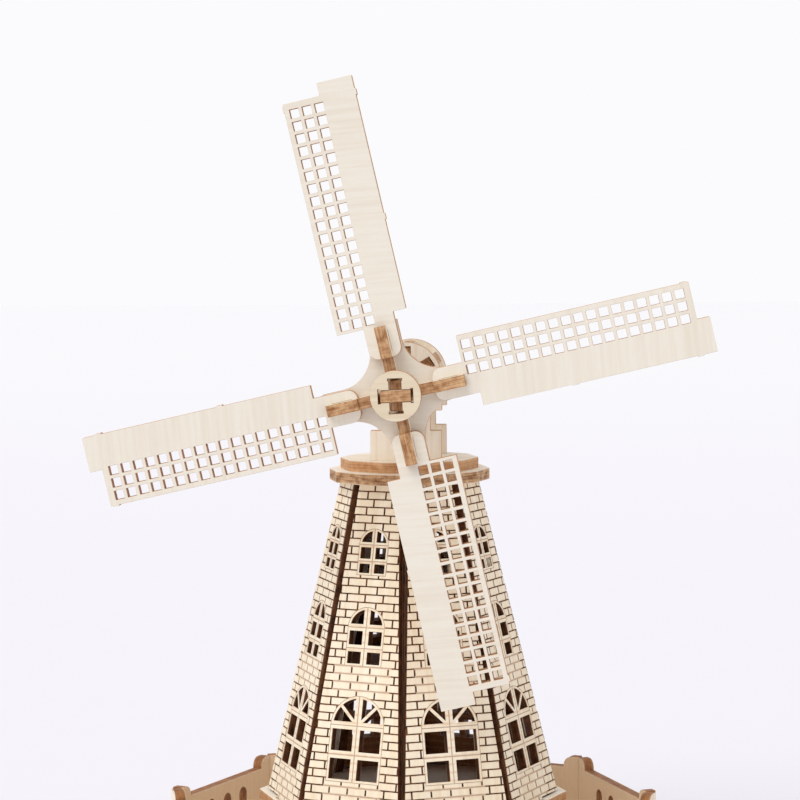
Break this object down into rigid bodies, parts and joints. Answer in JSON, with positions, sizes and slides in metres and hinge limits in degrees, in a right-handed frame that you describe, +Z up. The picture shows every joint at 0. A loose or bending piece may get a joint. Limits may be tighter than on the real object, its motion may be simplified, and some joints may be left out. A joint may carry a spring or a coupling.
{
  "type": "wooden windmill puzzle",
  "caption": "Laser-cut plywood windmill puzzle: brick tower on a fenced octagonal deck, cap with a bearing frame, and lattice sails that turn on a crossed-strip shaft.",
  "frame": {"origin": "centre of the deck's flat underside", "axes": "+Z up along the tower, -Y the side that the sails face, +X to the right as seen from the front"},
  "size_m": [0.163, 0.1394, 0.2195],
  "materials": {
    "frame_plywood": "sanded plywood face with laser-browned edges",
    "brick_plywood": "sanded plywood face with laser-engraved brick joints",
    "sail_plywood": "pale sanded plywood face with fine cross grain",
    "edge_plywood": "laser-browned plywood edge"
  },
  "bodies": {
    "mill": {"corner_rib_1": "edge_plywood", "corner_rib_2": "edge_plywood", "corner_rib_3": "edge_plywood", "corner_rib_4": "edge_plywood", "corner_rib_5": "edge_plywood", "corner_rib_6": "edge_plywood", "corner_rib_7": "edge_plywood", "corner_rib_8": "edge_plywood", "deck": "frame_plywood", "fence_panel_1": "frame_plywood", "fence_panel_2": "frame_plywood", "fence_panel_3": "frame_plywood", "fence_panel_4": "frame_plywood", "fence_panel_5": "frame_plywood", "fence_panel_6": "frame_plywood", "fence_panel_7": "frame_plywood", "fence_panel_8": "frame_plywood", "flange": "frame_plywood", "front_bearing": "frame_plywood", "left_tie": "edge_plywood", "lower_cap": "frame_plywood", "lower_floor": "frame_plywood", "plinth_wall_1": "brick_plywood", "plinth_wall_2": "brick_plywood", "plinth_wall_3": "brick_plywood", "plinth_wall_4": "brick_plywood", "plinth_wall_5": "brick_plywood", "plinth_wall_6": "brick_plywood", "plinth_wall_7": "brick_plywood", "plinth_wall_8": "brick_plywood", "rear_bearing": "frame_plywood", "right_tie": "edge_plywood", "top_tie": "edge_plywood", "tower_wall_1": "brick_plywood", "tower_wall_2": "brick_plywood", "tower_wall_3": "brick_plywood", "tower_wall_4": "brick_plywood", "tower_wall_5": "brick_plywood", "tower_wall_6": "brick_plywood", "tower_wall_7": "brick_plywood", "tower_wall_8": "brick_plywood", "upper_cap": "frame_plywood", "upper_floor": "frame_plywood"},
    "rotor": {"front_collar": "frame_plywood", "hub_disc": "frame_plywood", "left_key": "edge_plywood", "left_sail": "sail_plywood", "lower_key": "edge_plywood", "lower_sail": "sail_plywood", "rear_collar": "frame_plywood", "right_key": "edge_plywood", "right_sail": "sail_plywood", "shaft_flat_strip": "edge_plywood", "shaft_tall_strip": "edge_plywood", "star_plate": "frame_plywood", "upper_key": "edge_plywood", "upper_sail": "sail_plywood"}
  },
  "joints": [
    {"name": "windshaft_turn", "type": "hinge", "parent": "mill", "child": "rotor", "pos_m": [0, 0, 0.138], "axis": [0, -1, 0], "continuous": true}
  ]
}
